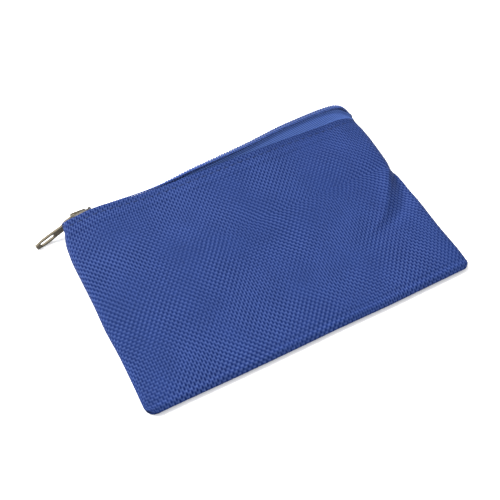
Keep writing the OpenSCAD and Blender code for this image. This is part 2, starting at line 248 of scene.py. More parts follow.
def tube(rings, first=0):
    """Faces of a closed tube through rings of points: its skin and a fan at each end."""
    count, sides = rings.shape[:2]
    k = np.arange(1, sides - 1)
    last = first + (count - 1) * sides
    start = np.stack([np.full(sides - 2, first), first + k + 1, first + k], 1)
    end = np.stack([np.full(sides - 2, last), last + k, last + k + 1], 1)
    return [grid_quads(count, sides, first, wrap=True), start, end]


def tube_rings(path, up, radius, sides):
    """Rings round a path, where up is roughly outwards. The radius may change along it."""
    along = unit(np.gradient(path, axis=0))
    across = unit(np.cross(up, along))
    out = np.cross(along, across)
    angle = circle(sides)[None, :, None]
    reach = np.broadcast_to(radius, len(path))[:, None, None]
    return (path[:, None, :] + reach * np.cos(angle) * across[:, None, :]
            + reach * np.sin(angle) * out[:, None, :])


def join_tubes(name, tubes, alongs=None):
    """One mesh from several closed tubes. u runs along each, in mm or by the values given, and v round it."""
    points, faces, uvs = [], [], []
    first = 0
    for k, rings in enumerate(tubes):
        count, sides = rings.shape[:2]
        uv = np.empty((count, sides, 2))
        uv[..., 0] = (alongs[k] if alongs else lengths(rings.mean(1)))[:, None]
        uv[..., 1] = np.arange(sides)[None, :] / sides
        points.append(rings.reshape(-1, 3))
        uvs.append(uv.reshape(-1, 2))
        faces += tube(rings, first)
        first += count * sides
    return add_mesh(name, np.concatenate(points), faces, np.concatenate(uvs))


def strip_mesh(name, top, low, uv):
    """A closed flat strip from the points of its two faces, which share their uv."""
    rings = np.concatenate([top, low[:, ::-1]], 1)
    both = np.concatenate([uv, uv[:, ::-1]], 1)
    return add_mesh(name, rings.reshape(-1, 3), tube(rings), both.reshape(-1, 2))


def finish_piece(piece, material, stands_for=(), body="pouch"):
    """Gives a piece its material, the CAD nodes that it replaces and its body."""
    piece.data.materials.append(material)
    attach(piece, body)
    if stands_for:
        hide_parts(*stands_for)
    return piece


# -------- materials


class Shader:
    """Short calls for building one material's nodes. A value is a number, a colour or a node's socket."""

    def __init__(self, name):
        self.material = bpy.data.materials.new(name)
        self.material.use_nodes = True
        self.tree = self.material.node_tree
        self.bsdf = self.tree.nodes["Principled BSDF"]

    def put(self, socket, value):
        if isinstance(value, bpy.types.NodeSocket):
            self.tree.links.new(value, socket)
        elif isinstance(value, (tuple, list)) and len(value) == 3 and socket.type == "RGBA":
            socket.default_value = (*value, 1)
        else:
            socket.default_value = value

    def math(self, operation, a, b=None):
        node = self.tree.nodes.new("ShaderNodeMath")
        node.operation = operation
        self.put(node.inputs[0], a)
        if b is not None:
            self.put(node.inputs[1], b)
        return node.outputs[0]

    def plus(self, a, b):
        return self.math("ADD", a, b)

    def times(self, a, b):
        return self.math("MULTIPLY", a, b)

    def wave(self, value, length=1.0):
        """A sine that repeats after each length of the value."""
        return self.math("SINE", self.times(value, 2 * math.pi / length))

    def blend(self, factor, a, b, kind="MIX"):
        """Two colours mixed. Sockets 6 and 7 are the Mix node's colours, and output 2 is its result."""
        node = self.tree.nodes.new("ShaderNodeMix")
        node.data_type = "RGBA"
        node.blend_type = kind
        self.put(node.inputs[0], factor)
        self.put(node.inputs[6], a)
        self.put(node.inputs[7], b)
        return node.outputs[2]

    def tint(self, colour, tone):
        """A colour, darker where the tone is under 1 and lighter where it is over 1."""
        return self.blend(1.0, colour, self.combine(tone, tone, tone), "MULTIPLY")

    def span(self, value, low, high, to_low=0.0, to_high=1.0):
        """The value's range from low to high, stretched to another range and held at its ends."""
        node = self.tree.nodes.new("ShaderNodeMapRange")
        for socket, v in zip(node.inputs, (value, low, high, to_low, to_high)):
            self.put(socket, v)
        return node.outputs[0]

    def uv(self):
        """u and v of the cloth."""
        node = self.tree.nodes.new("ShaderNodeUVMap")
        node.uv_map = UV_NAME
        return self.parts(node.outputs[0])[:2]

    def parts(self, vector):
        node = self.tree.nodes.new("ShaderNodeSeparateXYZ")
        self.put(node.inputs[0], vector)
        return node.outputs[0], node.outputs[1], node.outputs[2]

    def combine(self, x, y, z):
        node = self.tree.nodes.new("ShaderNodeCombineXYZ")
        for socket, v in zip(node.inputs, (x, y, z)):
            self.put(socket, v)
        return node.outputs[0]

    def place(self):
        """Position in the object, in millimetres."""
        node = self.tree.nodes.new("ShaderNodeTexCoord")
        scale = self.tree.nodes.new("ShaderNodeVectorMath")
        scale.operation = "SCALE"
        self.put(scale.inputs[0], node.outputs["Object"])
        scale.inputs["Scale"].default_value = 1 / MM
        return scale.outputs[0]

    def noise(self, vector, scale, detail=2.0, roughness=0.5):
        node = self.tree.nodes.new("ShaderNodeTexNoise")
        self.put(node.inputs["Vector"], vector)
        for name, v in (("Scale", scale), ("Detail", detail), ("Roughness", roughness)):
            node.inputs[name].default_value = v
        return node.outputs["Fac"]

    def sheet_noise(self, u, v, scale_u, scale_v, detail, roughness=0.5, layer=0.0):
        """Noise over a sheet, with its own scale each way. Another layer gives another pattern."""
        place = self.combine(self.times(u, scale_u), self.times(v, scale_v), layer)
        return self.noise(place, 1.0, detail, roughness)

    def bump(self, height, strength, distance):
        """Surface relief, where distance is the depth in mm of a height of 1."""
        node = self.tree.nodes.new("ShaderNodeBump")
        self.put(node.inputs["Height"], height)
        node.inputs["Strength"].default_value = strength
        node.inputs["Distance"].default_value = distance * MM
        return node.outputs[0]

    def set(self, **values):
        names = {"colour": "Base Color", "roughness": "Roughness", "metallic": "Metallic", "normal": "Normal",
                 "sheen": "Sheen Weight", "sheen_roughness": "Sheen Roughness", "sheen_tint": "Sheen Tint",
                 "specular": "Specular IOR Level"}
        for key, value in values.items():
            self.put(self.bsdf.inputs[names[key]], value)
        return self.material


WARP_PITCH = 0.9
WEFT_PITCH = 1.04
# The weave's height is four waves over a, across the warp yarns, and b, across the weft yarns. Each is its
# turns of a, turns of b, height and lag. The first two carry the over and under of the yarns, the last two
# the roundness of each yarn.
HEIGHT_BASE = 0.60
WEAVE_WAVES = ((1, -1, 0.16, 0.0), (1, 1, 0.17, 0.0), (2, 0, 0.20, 2.45), (0, 2, 0.09, 1.05))
# The three colours of the cloth stand at these heights of the weave: a painted shade in the hollows between
# the yarns, the yarns' own colour, and a painted highlight on their crests
DEEP_HEIGHT = 0.12
MIDDLE_HEIGHT = 0.58
CREST_HEIGHT = 1.00
CLOTH_PIT_SHADE = (0.0018, 0.0088, 0.060)
CLOTH_MIDDLE = (0.0122, 0.0272, 0.109)
CLOTH_CREST_HIGHLIGHT = (0.0375, 0.0620, 0.178)
# Detail of the noise per mm, across and along the filaments of a yarn
FILAMENTS_ACROSS = 11.0
FILAMENTS_ALONG = 1.6

TAPE_RIB = 0.9
TAPE_RIB_SLANT = 0.7
TAPE_KNIT = 0.55
# Where the painted shade beside the coil begins and where it is full, in v
COIL_SHADE_START = -3.7
COIL_SHADE_FULL = -2.7
TAPE_DARK = (0.038, 0.084, 0.300)
TAPE_LIGHT = (0.128, 0.232, 0.640)
TAPE_SHEEN = (0.6, 0.7, 1.0)

NYLON_DARK = (0.005, 0.021, 0.120)
NYLON_LIGHT = (0.013, 0.041, 0.185)
# Painted highlight on the top of each arch of the coil
NYLON_ARCH_HIGHLIGHT = (0.064, 0.094, 0.195)

# Detail of the noise per mm, along and across the scratches of a metal
SCRATCHES_ALONG = 0.8
SCRATCHES_ACROSS = 9.0


def woven_height(m, u, v, a, b):
    """The weave's four waves. Tension differs slowly over the cloth, so each wave is stronger in places."""
    height = HEIGHT_BASE
    for k, (turns_a, turns_b, share, lag) in enumerate(WEAVE_WAVES):
        phase = m.plus(m.times(a, turns_a), m.times(b, turns_b))
        wave = m.math("COSINE", m.math("SUBTRACT", phase, lag))
        tension = m.sheet_noise(u, v, 0.045, 0.045, detail=1, layer=7.3 * k + 1.7)
        height = m.plus(height, m.times(wave, m.span(tension, 0.3, 0.7, 0.35 * share, 1.6 * share)))
    return height


def yarn_filaments(m, u, v, a, b):
    """Fine filaments that run along whichever yarn is on top."""
    warp_on_top = m.math("GREATER_THAN", m.math("COSINE", m.math("SUBTRACT", a, b)), 0.0)
    weft_on_top = m.math("SUBTRACT", 1.0, warp_on_top)
    along_y = m.sheet_noise(u, v, FILAMENTS_ACROSS, FILAMENTS_ALONG, detail=2, roughness=0.6)
    along_x = m.sheet_noise(u, v, FILAMENTS_ALONG, FILAMENTS_ACROSS, detail=2, roughness=0.6)
    return m.plus(m.times(along_y, warp_on_top), m.times(along_x, weft_on_top))


def cloth_material():
    """Plain weave of thick textured yarns, with painted shade in the hollows between the yarns and a painted
    highlight on their crests. The yarns that run along Y get more of the painted highlight.
    """
    m = Shader("woven_cloth")
    u, v = m.uv()
    a = m.times(u, math.pi / WARP_PITCH)
    b = m.times(v, math.pi / WEFT_PITCH)
    height = woven_height(m, u, v, a, b)
    filament = yarn_filaments(m, u, v, a, b)
    yarn = m.sheet_noise(u, v, 0.9, 0.85, detail=3, roughness=0.7)
    wander = m.sheet_noise(u, v, 0.10, 0.10, detail=2)
    # Painted shade in the weave's hollows and a painted highlight on its crests
    colour = m.blend(m.span(height, DEEP_HEIGHT, MIDDLE_HEIGHT), CLOTH_PIT_SHADE, CLOTH_MIDDLE)
    colour = m.blend(m.span(height, MIDDLE_HEIGHT, CREST_HEIGHT), colour, CLOTH_CREST_HIGHLIGHT)
    tone = m.plus(m.span(filament, 0.3, 0.7, 0.86, 1.12), m.span(yarn, 0.25, 0.75, -0.12, 0.12))
    tone = m.plus(tone, m.span(wander, 0.3, 0.7, -0.05, 0.05))
    relief = m.plus(height, m.times(filament, 0.22))
    return m.set(
        colour=m.tint(colour, tone),
        roughness=m.span(filament, 0.2, 0.8, 0.58, 0.76),
        normal=m.bump(relief, 0.55, 0.09),
        specular=0.04)


def tape_material(name, coil_shade_tone):
    """Knitted tape with fine slanted ribs. v runs up to 0 under the coil, and the tone argument is how dark a
    painted shade beside the coil makes the tape there."""
    m = Shader(name)
    u, v = m.uv()
    rib = m.wave(m.plus(u, m.times(v, TAPE_RIB_SLANT)), TAPE_RIB)
    knit = m.wave(v, TAPE_KNIT)
    height = m.plus(m.times(rib, 0.6), m.times(knit, 0.25))
    fuzz = m.sheet_noise(u, v, 6.0, 6.0, detail=3, roughness=0.6)
    # Painted shade on the tape beside the coil
    painted_coil_shade = m.span(v, COIL_SHADE_START, COIL_SHADE_FULL, 1.0, coil_shade_tone)
    tone = m.times(m.span(fuzz, 0.25, 0.75, 0.82, 1.16), painted_coil_shade)
    return m.set(
        colour=m.tint(m.blend(m.span(height, -0.6, 0.6), TAPE_DARK, TAPE_LIGHT), tone),
        roughness=m.span(fuzz, 0.3, 0.7, 0.55, 0.72),
        normal=m.bump(m.plus(height, m.times(fuzz, 0.5)), 0.5, 0.05),
        sheen=0.05,
        sheen_roughness=0.4,
        sheen_tint=TAPE_SHEEN,
        specular=0.2)


def coil_material():
    """Glossy dyed nylon filament, with a painted highlight where each strand arches over the tape. u counts
    turns.
    """
    m = Shader("coil_nylon")
    grain = m.noise(m.place(), 1.7, 3, 0.6)
    turn, _ = m.uv()
    # Painted highlight, strongest at the top of each turn
    painted_arch_highlight = m.plus(m.wave(turn), m.times(grain, 0.2))
    colour = m.blend(m.span(grain, 0.3, 0.7), NYLON_DARK, NYLON_LIGHT)
    return m.set(
        colour=m.blend(m.span(painted_arch_highlight, 0.72, 1.08), colour, NYLON_ARCH_HIGHLIGHT),
        roughness=m.span(grain, 0.3, 0.7, 0.22, 0.34),
        normal=m.bump(m.noise(m.place(), 14.0, 2), 0.12, 0.02),
        specular=0.5)


def thread_material(name, dark, light):
    """Twisted sewing thread: slanted plies from the way round and along each stitch."""
    m = Shader(name)
    u, v = m.uv()
    ply = m.wave(m.plus(m.times(u, 1.6), m.times(v, 2.0)))
    fuzz = m.noise(m.place(), 9.0, 3, 0.7)
    level = m.plus(m.times(ply, 0.5), fuzz)
    return m.set(
        colour=m.blend(m.span(level, 0.0, 1.0), dark, light),
        roughness=m.span(fuzz, 0.3, 0.7, 0.45, 0.65),
        normal=m.bump(level, 0.5, 0.04),
        specular=0.15)


def metal_material(name, worn, shade, smooth, rough):
    """Plated zinc or steel with handling wear: cloudy plating, fine scratches along X, and brighter worn
    patches. Its roughness varies from smooth to rough."""
    m = Shader(name)
    place = m.place()
    x, y, z = m.parts(place)
    cloud = m.noise(place, 0.55, 4, 0.6)
    speckle = m.noise(place, 6.0, 3, 0.7)
    stretched = m.combine(
        m.times(x, SCRATCHES_ALONG), m.times(y, SCRATCHES_ACROSS), m.times(z, SCRATCHES_ACROSS))
    scratches = m.noise(stretched, 1.0, 3, 0.6)
    wear = m.plus(m.times(cloud, 0.7), m.times(speckle, 0.3))
    dullness = m.plus(m.times(cloud, 0.6), m.times(scratches, 0.4))
    return m.set(
        colour=m.blend(m.span(wear, 0.36, 0.66), shade, worn),
        metallic=1.0,
        roughness=m.span(dullness, 0.3, 0.7, smooth, rough),
        normal=m.bump(m.plus(scratches, m.times(speckle, 0.6)), 0.25, 0.03))


def floor_material():
    m = Shader("pale_floor")
    tone = m.span(m.noise(m.place(), 0.02, 2), 0.3, 0.7, 0.96, 0.98)
    return m.set(colour=m.combine(tone, tone, tone), roughness=0.6, specular=0.2)


# -------- the two panels

LEFT = -63.2
RIGHT = 60.4
FOOT = -42.4
HEM = 35.5
BACK_HEM = HEM - 0.1
DEPTH = HEM - FOOT
CLOTH = 0.65
HEM_DEPTH = 6.5
STITCH_LINE = 2.8
FOLD_R = 0.65
RELIEF = 0.10
# The outer skin has three points to a yarn, and the inner one a point for every six of those
COLUMN_STEP = WARP_PITCH / 3
ROW_STEP = WEFT_PITCH / 3
INNER_STEP = 6

# The side seams rise from the foot to the hem, half way between the two panels
SEAM_FOOT_Z = 1.6
SEAM_HEM_Z = 5.0

# The front face rises from the foot to the hem, where hem_top shapes it over this distance
FACE_FOOT_Z = 3
FACE_HEM_Z = 10
HEM_REACH = 16

# Radii of the two corners at the foot, and how far in from each edge the face has risen to its full height
LEFT_CORNER_R = 4.6
RIGHT_CORNER_R = 3.2
LEFT_ROLL = 2.4
RIGHT_ROLL = 3.5
FOOT_ROLL = 4

# x of the two side edges along y
left_edge = curve([
    (-42.4, -62.2), (-37, -62.2), (-28, -62.3), (-18, -62.6), (-8, -63.3), (2, -63.4), (13, -63.8),
    (24, -64.1), (29, -63.7), (34, -62.5), (35.5, -62.2)])
right_edge = curve([
    (-42.4, 61.3), (-36, 61.2), (-22, 60.4), (-8, 60.1), (-3, 59.8), (2, 59.6), (5, 59.2), (6.4, 58.7),
    (7.4, 58.1), (8.6, 58.5), (10, 58.8), (14, 59.1), (18, 59.2), (22, 59.3), (30, 59.1), (35.5, 58.4)])

# y of the foot and of the front hem, and the hem's height, along x
foot_line = curve([
    (-63.2, -42.9), (-50, -42.8), (-30, -42.8), (-12, -42.6), (6, -42.3), (25, -42.3), (45, -41.9),
    (60.4, -41.6)])
hem_line = curve([
    (-63.2, 35.9), (-60, 36.3), (-57, 36.5), (-50, 36.6), (-40, 36.2), (-29, 35.8), (-20, 35.6),
    (-10, 35.5), (30, 35.5), (45, 35.6), (52, 35.5), (60.3, 35.0)])
hem_top = curve([
    (-63.2, 9.6), (-60, 9.8), (-57, 9.8), (-50, 10.5), (-40, 9.9), (-29, 9.1), (-20, 9.4), (-10, 9.8),
    (4.5, 10.2), (14, 10.2), (22, 10.0), (30, 9.7), (39, 9.2), (45, 9.0), (50, 9.4), (54, 8.9),
    (58, 7.6), (60.3, 6.9)])

# The crease from the notch on the right edge: x of its crest and its depth, along y
CREASE_NOTCH = 8
CREASE_WIDTH = 1.4
CREASE_SPREAD = 0.42
crease_crest = curve([
    (-20, 30.0), (-17, 34.8), (-14.2, 39.9), (-11.5, 44.6), (-7.4, 48.8), (-3.1, 51.9), (1, 54.3),
    (5.4, 56.8), (8, 58.6), (12, 62.0)])
crease_depth = curve([
    (-22, 0.0), (-17, 0.25), (-12, 0.9), (-6, 1.9), (-2, 2.6), (3, 2.7), (6, 2.2), (8, 1.0), (9.2, 0.2),
    (10.5, 0.0)])

# Loose cloth: a low dome at the upper right, another at the left, and a hollow across the middle. Each is
# its height, then its middle and width in x, then its middle and width in y.
SWELLS = ((0.9, 46, 13, 17, 11), (0.5, -30, 26, 8, 18), (-0.4, 10, 20, -2, 17))


def seam_level(y):
    return SEAM_FOOT_Z + (SEAM_HEM_Z - SEAM_FOOT_Z) * (y - FOOT) / DEPTH


def layers(y_in):
    """Layers of cloth at a distance in from the hem's fold."""
    return 1 + ease(HEM_DEPTH + 0.5, HEM_DEPTH - 0.5, y_in)


def crease(x, y):
    """Depth of the crease, which widens away from the notch, less the ridge beside it."""
    off = x - crease_crest(y)
    width = CREASE_WIDTH + CREASE_SPREAD * np.clip(CREASE_NOTCH - y, 0, 14)
    wall = ease(-0.35, 1.0, off / width)
    fade = np.exp(-(np.clip(off - 0.8 * width, 0, 40) / 7.5) ** 1.3)
    ridge = 0.2 * bump(off, -1.8, 2.6)
    return crease_depth(y) * (wall * fade - ridge)


def hem_relief(x, y_in):
    """How far the stitches, the edge of the turned-in layer and the hollow between them sink the hem."""
    stitches_pull = 0.75 + 0.25 * noise(x, 0 * x, size=2.4, seed=11)
    edge_shows = 0.7 + 0.3 * noise(x, 0 * x, size=7, seed=13)
    hollow = 0.6 + 0.4 * noise(x, 0 * x, size=5, seed=17)
    return (0.24 * stitches_pull * bump(y_in, STITCH_LINE, 0.75)
            + 0.30 * edge_shows * ease(5.6, 7.4, y_in) * ease(30, 12, y_in)
            + 0.22 * hollow * bump(y_in, 4.4, 1.1))


def front_height(x, y, y_in):
    """Height of the front panel away from its rounded edges. y_in is the distance in from the hem."""
    z = FACE_FOOT_Z + (FACE_HEM_Z - FACE_FOOT_Z) * np.clip((y - FOOT) / DEPTH, 0, 1) ** 1.1
    near_hem = np.exp(-np.maximum(y_in, 0) / HEM_REACH)
    z += (hem_top(x) - FACE_HEM_Z) * near_hem
    for height, x_middle, x_width, y_middle, y_width in SWELLS:
        z += height * bump(x, x_middle, x_width) * bump(y, y_middle, y_width)
    # Slow undulations, which the seam at the foot holds flat
    calm = ease(0, 9, y - FOOT)
    z += calm * (0.26 * noise(x + 0.3 * y, y, size=19, seed=3)
                 + 0.14 * noise(x, y - 0.2 * x, size=9.5, seed=5)
                 + 0.05 * noise(x, y, size=4.3, seed=8))
    return z - crease(x, y) - hem_relief(x, y_in)


def edge_ridges(from_left, from_right, from_foot):
    """Pressed ridges just inside the three sewn edges."""
    foot_ridge = 0.22 * bump(from_foot, 1.5, 0.7) - 0.20 * bump(from_foot, 3.1, 0.9)
    return foot_ridge + 0.12 * bump(from_left, 1.3, 0.6) + 0.10 * bump(from_right, 1.6, 0.7)


def back_depth(x, y):
    """How far the back panel stands off the table."""
    ripple = noise(x, y, size=15, seed=23) + 0.2 * noise(x, y, size=6, seed=29)
    return 0.12 * np.clip(ripple, 0, 1) * ease(1, 10, y - FOOT)


def round_corner(d1, d2, radius):
    """Bends the grid round a corner, where d1 and d2 are the distances in from its two edges."""
    p = np.clip(1 - d1 / radius, 0, 1)
    q = np.clip(1 - d2 / radius, 0, 1)
    inside = (p > 0) & (q > 0)
    return (np.where(inside, radius * (1 - p * np.sqrt(1 - q * q / 2)), d1),
            np.where(inside, radius * (1 - q * np.sqrt(1 - p * p / 2)), d2))


def panel_point(side, a, b, inset=0.0):
    """A point of the front panel (side 1) or the back one (side -1). a runs from 0 to 1 across it, b from
    0 at the foot to 1 at the fold of the hem, and inset is how far in from the outer face it lies."""
    x0 = LEFT + (RIGHT - LEFT) * a
    y0 = FOOT + DEPTH * b
    x_low = left_edge(y0) + inset
    x_high = right_edge(y0) - inset
    y_low = foot_line(x0) + inset
    y_high = (hem_line(x0) if side > 0 else BACK_HEM) - FOLD_R
    x = x_low + a * (x_high - x_low)
    y = y_low + b * (y_high - y_low)
    from_left, from_foot = round_corner(x - x_low, y - y_low, LEFT_CORNER_R)
    x = x_low + from_left
    from_right, from_foot = round_corner(x_high - x, from_foot, RIGHT_CORNER_R)
    x = x_high - from_right
    y = y_low + from_foot
    y_in = y_high + FOLD_R - y
    lift = (rise(x - x_low, LEFT_ROLL - inset) * rise(x_high - x, RIGHT_ROLL - inset)
            * rise(y - y_low, FOOT_ROLL - inset))
    skin = CLOTH * layers(y_in) if inset else 0.0
    if side > 0:
        face = front_height(x, y, y_in) + edge_ridges(x - x_low, x_high - x, y - y_low) - skin
    else:
        face = back_depth(x, y) + skin
    seam = seam_level(y0)
    return np.stack([x, y, seam + (face - seam) * lift], -1)


def places_by_length(path, step):
    """Parameters of points a step apart along a path sampled from 0 to 1."""
    length = lengths(path)
    count = int(round(length[-1] / step))
    return np.interp(np.linspace(0, length[-1], count + 1), length, np.linspace(0, 1, len(path)))


def weave_height(u, v):
    """From 0 between yarns to 1 on top of them."""
    a = np.pi * u / WARP_PITCH
    b = np.pi * v / WEFT_PITCH
    return HEIGHT_BASE + sum(share * np.cos(turns_a * a + turns_b * b - lag)
                             for turns_a, turns_b, share, lag in WEAVE_WAVES)


def hem_fold(last, side):
    """The fold of the hem, a half circle from the outer face's last row round to the inner face."""
    turns = int(round(math.pi * FOLD_R / ROW_STEP))
    angle = (np.arange(1, turns + 1) / turns * math.pi)[:, None]
    # Near the side seams the fold is pressed thinner, down to the seam's level
    thin = np.clip(np.abs(last[:, 2] - seam_level(HEM)) / (2 * FOLD_R), 0.05, 1)
    x = np.broadcast_to(last[:, 0], (turns, len(last)))
    y = last[:, 1] + FOLD_R * np.sin(angle)
    z = last[:, 2] - side * FOLD_R * (1 - np.cos(angle)) * thin
    return np.stack([x, y, z], -1)


def press_weave(face, side):
    """Presses the relief of the yarns into the outer face. Returns it with its uv."""
    n_rows, n_columns = face.shape[:2]
    u, v = np.meshgrid((np.arange(n_columns) - n_columns // 2) * COLUMN_STEP,
                       (np.arange(n_rows) - n_rows // 2) * ROW_STEP)
    normal = unit(np.cross(np.gradient(face, axis=1), np.gradient(face, axis=0))) * side
    depth = RELIEF * (1 - weave_height(u, v)) * (1 + 0.25 * noise(u, v, size=1.1, seed=37))
    return face - normal * depth[..., None], np.stack([u, v], -1)


def fan_strip(fine, keep, coarse, flip):
    """Triangles between a fine edge and a coarse one, whose points stand beside fine[keep]."""
    triangles = []
    for k in range(len(keep) - 1):
        low, high = keep[k], keep[k + 1]
        middle = (low + high) // 2
        for i in range(low, high):
            triangles.append((fine[i], fine[i + 1], coarse[k] if i < middle else coarse[k + 1]))
        triangles.append((fine[middle], coarse[k + 1], coarse[k]))
    triangles = np.array(triangles)
    return triangles if flip else triangles[:, ::-1]


def panel_faces(outer, inner, kept_rows, kept_columns, side):
    """Faces of both skins and of the strips between them at the fold, the sides and the foot. outer and
    inner are grids of point numbers, and each inner point stands beside a kept row and column."""
    kept_up = list(kept_rows[::-1])
    return [
        grid_quads(*outer.shape, outer[0, 0], side < 0),
        grid_quads(*inner.shape, inner[0, 0], side < 0),
        fan_strip(outer[-1], kept_columns, inner[0], side < 0),
        fan_strip(outer[:, 0], kept_up, inner[::-1, 0], side > 0),
        fan_strip(outer[:, -1], kept_up, inner[::-1, -1], side < 0),
        fan_strip(outer[0], kept_columns, inner[-1], side > 0)]


def make_panel(node, side, material):
    """A panel with a fine outer skin, the fold of its hem, and a coarser inner skin down to the foot."""
    fine = np.linspace(0, 1, 4000)
    columns = places_by_length(panel_point(side, fine, 0 * fine + 0.5), COLUMN_STEP)
    rows = places_by_length(panel_point(side, 0 * fine + 0.5, fine), ROW_STEP)
    face = panel_point(side, *np.meshgrid(columns, rows))
    outer, uv = press_weave(np.concatenate([face, hem_fold(face[-1], side)]), side)
    n_rows, n_columns = outer.shape[:2]
    kept_columns = sorted(set(range(0, n_columns, INNER_STEP)) | {n_columns - 1})
    inner_rows = np.linspace(1, 0, len(rows) // INNER_STEP)
    kept_rows = np.round(inner_rows * (len(rows) - 1)).astype(int)
    kept_rows[0] = n_rows - 1
    inner = panel_point(side, *np.meshgrid(columns[kept_columns], inner_rows), CLOTH)
    outer_numbers = np.arange(n_rows * n_columns).reshape(n_rows, n_columns)
    inner_numbers = outer_numbers.size + np.arange(inner[..., 0].size).reshape(inner.shape[:2])
    faces = panel_faces(outer_numbers, inner_numbers, kept_rows, kept_columns, side)
    points = np.concatenate([outer.reshape(-1, 3), inner.reshape(-1, 3)])
    inner_uv = uv[np.ix_(kept_rows, kept_columns)]
    uvs = np.concatenate([uv.reshape(-1, 2), inner_uv.reshape(-1, 2)])
    piece = add_mesh(f"{node}_cloth", points, faces, uvs)
    return finish_piece(piece, material, stands_for=[node])


# -------- the zip

COIL_W = 2.0
COIL_T = 1.4
COIL_PITCH = 1.12
COIL_WIRE = 0.36
COIL_HEAD = 0.12
COIL_STEPS = 18
COIL_STITCH_R = 0.13
COIL_STITCH_SINK = 0.12
COIL_STITCH_ARCH = 0.22
COIL_STITCH_SWAY = 0.10
# Each line of the coil's stitching: its place across the row, and its shift along it in pitches
COIL_STITCH_LINES = ((-0.62, 0.0), (-0.18, 0.5))
CORD_R = 0.46
CORD_TWIST = 0.05
TAPE_T = 0.32
TAPE_GAP = 0.04
TAPE_RIB_HEIGHT = 0.025
# From the fold of the hem: how deep the tape starts, where it begins to bend, and how far out it rounds
TAPE_INSIDE = 5.4
TAPE_BEND = 0.3
TAPE_ROUNDS = 0.35
STATION_STEP = 0.05

# x, y, z of each coil row's middle, and the angle of its free edge from +Y towards +Z
FRONT_ROUTE = np.array([
    (-61.4, 37.1, 6, -90), (-55.3, 37.1, 6, -90), (-51.1, 37.1, 6.7, -90), (-48.5, 37.2, 7.5, -86),
    (-43, 37.3, 7.3, -65), (-36, 37.2, 7.1, -55), (-30, 37.1, 7.1, -45), (-24, 37.0, 7.7, -25),
    (-17, 37.0, 8.8, -10), (-10, 37.1, 9.8, 0), (12, 37.8, 11.3, 25),
    (28, 38.9, 12.5, 35), (46, 39.5, 12.7, 35), (53, 39.3, 11.5, 10), (56.2, 38.5, 8.6, -50),
    (57.8, 37.5, 6.1, -90)], float)
BACK_ROUTE = np.array([
    (-61.4, 37.1, 4, 90), (-55.3, 37.1, 4, 90), (-51.1, 37.1, 3.3, 90), (-48.5, 37.2, 2.6, 86),
    (-43, 37.4, 1.7, 40), (-34, 37.6, 0.97, 0), (0, 37.6, 0.97, 0), (48, 37.6, 0.97, 0),
    (54, 37.5, 1.8, 40), (57.8, 37.3, 3.9, 90)], float)


def along_route(route, step):
    """Distances a step apart along a route, and the x, y, z and angle at each."""
    dense = smooth_through(route, 6000)
    length = lengths(dense[:, :3])
    wanted = np.linspace(0, length[-1], int(round(length[-1] / step)) + 1)
    return wanted, sample(wanted, length, dense)


def section_point(s, side, u, v):
    """A point of the row's section at stations s: u across towards its free edge, v off the tape."""
    angle = np.radians(s[..., 3])
    return np.stack([s[..., 0], s[..., 1] + u * np.cos(angle) - side * v * np.sin(angle),
                     s[..., 2] + u * np.sin(angle) + side * v * np.cos(angle)], -1)


def make_coil(node, route, side, material):
    """A wound nylon filament with widened heads along its free edge."""
    length, stations = along_route(route, STATION_STEP)
    turns = length[-1] / COIL_PITCH
    phase = np.linspace(0, turns * 2 * np.pi, int(turns * COIL_STEPS) + 1)
    turn = phase / (2 * np.pi)
    s = sample(turn * COIL_PITCH, length, stations)
    half_u = COIL_W / 2 - COIL_WIRE
    half_v = COIL_T / 2 - COIL_WIRE
    path = section_point(s, side, half_u * np.cos(phase), half_v * np.sin(phase))
    head = np.clip(np.cos(phase), 0, 1) ** 2
    up = unit(path - section_point(s, side, 0 * phase, 0 * phase) + 1e-6)
    rings = tube_rings(path, up, COIL_WIRE * (1 + COIL_HEAD * head), 8)
    piece = join_tubes(f"{node}_wound", [rings], [turn])
    return finish_piece(piece, material, stands_for=[node])


def make_coil_stitching(name, route, side, material):
    """Two lines of stitches that hold the coil down on the tape."""
    length, stations = along_route(route, STATION_STEP)
    half_turn = np.linspace(0, np.pi, 9)
    u_sway = COIL_STITCH_SWAY * np.cos(half_turn)
    v_arch = COIL_T / 2 - COIL_STITCH_SINK + COIL_STITCH_ARCH * np.sin(half_turn)
    tubes = []
    for u, shift in COIL_STITCH_LINES:
        for k in range(int(length[-1] / COIL_PITCH) - 1):
            run = (k + shift + np.linspace(0.02, 1.02, 9)) * COIL_PITCH
            s = sample(run, length, stations)
            path = section_point(s, side, u + u_sway, v_arch)
            up = section_point(s, side, 0, 1) - section_point(s, side, 0, 0)
            tubes.append(tube_rings(path, up, COIL_STITCH_R, 6))
    return finish_piece(join_tubes(name, tubes), material)


def make_coil_cord(node, route, side, material):
    """The twisted cord inside the coil."""
    _, stations = along_route(route, 0.5)
    path = section_point(stations, side, 0, 0)
    up = section_point(stations, side, 0, 1) - path
    radius = CORD_R * (1 + CORD_TWIST * np.sin(np.arange(len(path)) * 2.1))
    piece = join_tubes(f"{node}_twisted", [tube_rings(path, up, radius, 8)])
    return finish_piece(piece, material, stands_for=[node])


def hem_share(x):
    """A place along the hem as panel_point's a."""
    return (x - left_edge(HEM)) / (right_edge(HEM) - left_edge(HEM))


def hem_face(x, side):
    """Level of the hem's inner face at a place along it, near its fold and deep inside."""
    a = np.clip(hem_share(x), 0.01, 0.99)
    return tuple(panel_point(side, a, np.full_like(a, b), CLOTH)[:, 2] for b in (0.985, 0.93))


